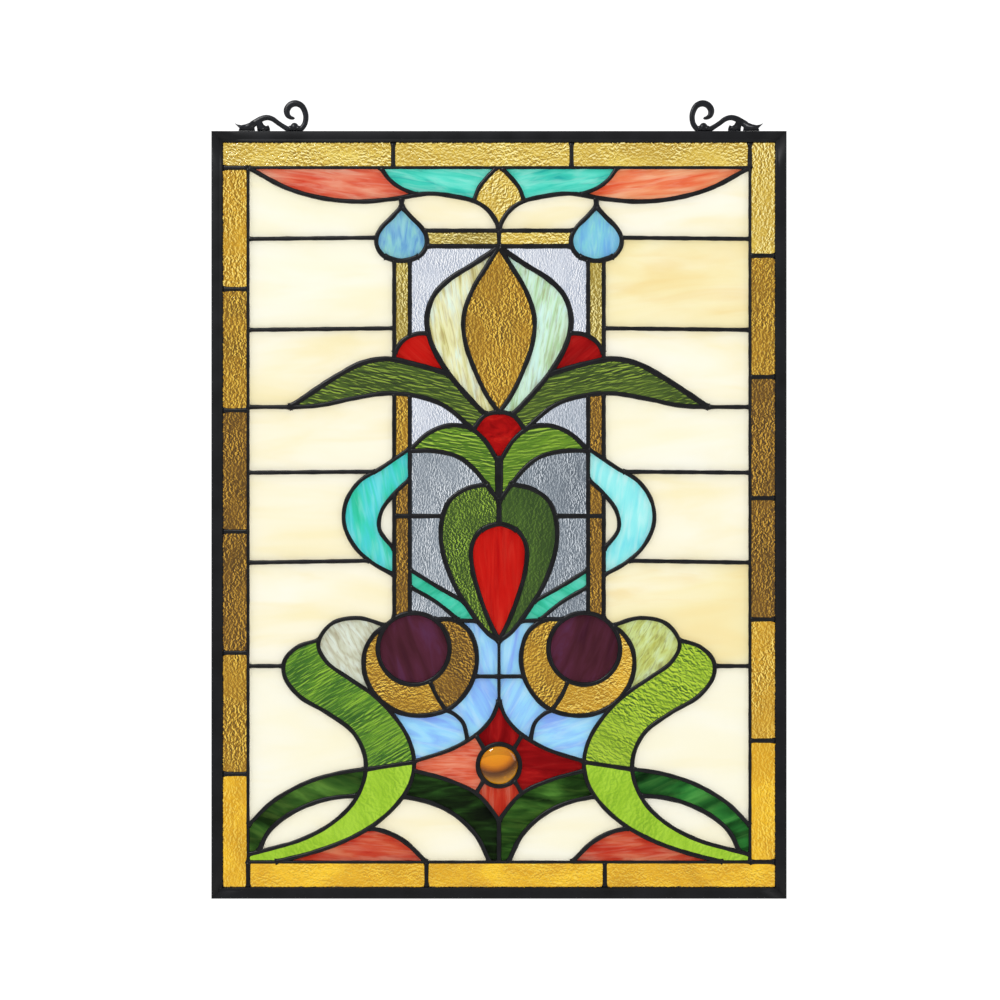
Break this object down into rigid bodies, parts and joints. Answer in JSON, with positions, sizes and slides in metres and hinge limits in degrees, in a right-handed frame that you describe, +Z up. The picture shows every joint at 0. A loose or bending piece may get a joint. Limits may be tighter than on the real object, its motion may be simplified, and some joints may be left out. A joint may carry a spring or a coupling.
{
  "type": "stained glass window panel",
  "caption": "Hanging leaded glass window panel: symmetrical tulip and leaf design in coloured glass, amber border, slim metal frame, two scrolled hanging eyes.",
  "frame": {"origin": "midway between the two hanging eyes, at the height where their curls bear on a hook, in the middle of the panel's thickness", "axes": "+X to the right seen from the front, +Z up, and the front faces -Y"},
  "size_m": [0.457, 0.0077, 0.6341],
  "materials": {
    "frame": "blackened zinc channel",
    "scroll": "cast metal, black patina",
    "solder": "bead solder, black patina",
    "amber_border": "textured clear or coloured glass",
    "amber_diamond": "textured clear or coloured glass",
    "amber_bars": "textured clear or coloured glass",
    "tulip_heart": "textured clear or coloured glass",
    "red_diamond": "streaked opal glass",
    "short_leaf": "streaked opal glass",
    "red_drop": "streaked opal glass",
    "sky": "streaked opal glass",
    "star": "streaked opal glass",
    "dark_arc": "streaked opal glass",
    "cream_background": "streaked opal glass",
    "white_lens": "streaked opal glass",
    "white_foot": "streaked opal glass",
    "coral_swag": "streaked opal glass",
    "coral_foot": "streaked opal glass",
    "teal_swag": "streaked opal glass",
    "blue_drop": "streaked opal glass",
    "clear_glass_upper": "textured clear or coloured glass",
    "clear_glass_middle": "textured clear or coloured glass",
    "clear_glass_lower": "textured clear or coloured glass",
    "tulip_petal": "streaked opal glass",
    "red_petal": "streaked opal glass",
    "long_leaf": "streaked opal glass",
    "ribbon": "streaked opal glass",
    "opal_petal": "streaked opal glass",
    "amethyst_disc": "textured clear or coloured glass",
    "gold_crescent": "textured clear or coloured glass",
    "stem": "streaked opal glass",
    "jewel": "pressed glass jewel"
  },
  "bodies": {
    "root": {"frame_rail_bottom": "frame", "frame_rail_right": "frame", "frame_rail_top": "frame", "frame_rail_left": "frame", "hanging_scroll_left": "scroll", "hanging_scroll_right": "scroll", "solder_network": "solder", "amber_border_glass": "amber_border", "amber_diamond_glass": "amber_diamond", "amber_bars_top_glass": "amber_bars", "tulip_heart_glass": "tulip_heart", "red_diamond_glass": "red_diamond", "short_leaves_glass": "short_leaf", "red_drop_glass": "red_drop", "sky_glass": "sky", "star_glass": "star", "dark_arcs_inner_glass": "dark_arc", "cream_background_left": "cream_background", "cream_background_right": "cream_background", "white_lens_left": "white_lens", "white_lens_right": "white_lens", "white_foot_left": "white_foot", "white_foot_right": "white_foot", "coral_swag_left": "coral_swag", "coral_swag_right": "coral_swag", "coral_foot_left": "coral_foot", "coral_foot_right": "coral_foot", "teal_swag_left": "teal_swag", "teal_swag_right": "teal_swag", "blue_drop_left": "blue_drop", "blue_drop_right": "blue_drop", "amber_bar_upper_left": "amber_bars", "amber_bar_upper_right": "amber_bars", "amber_bar_lower_left": "amber_bars", "amber_bar_lower_right": "amber_bars", "clear_glass_upper_left": "clear_glass_upper", "clear_glass_upper_right": "clear_glass_upper", "clear_glass_middle_left": "clear_glass_middle", "clear_glass_middle_right": "clear_glass_middle", "clear_glass_lower_left": "clear_glass_lower", "clear_glass_lower_right": "clear_glass_lower", "tulip_petal_left": "tulip_petal", "tulip_petal_right": "tulip_petal", "red_petal_left": "red_petal", "red_petal_right": "red_petal", "long_leaf_left": "long_leaf", "long_leaf_right": "long_leaf", "ribbon_left": "ribbon", "ribbon_right": "ribbon", "opal_petal_left": "opal_petal", "opal_petal_right": "opal_petal", "amethyst_disc_left": "amethyst_disc", "amethyst_disc_right": "amethyst_disc", "gold_crescent_left": "gold_crescent", "gold_crescent_right": "gold_crescent", "stem_left": "stem", "stem_right": "stem", "dark_arc_left": "dark_arc", "dark_arc_right": "dark_arc", "amber_jewel": "jewel"}
  },
  "joints": []
}
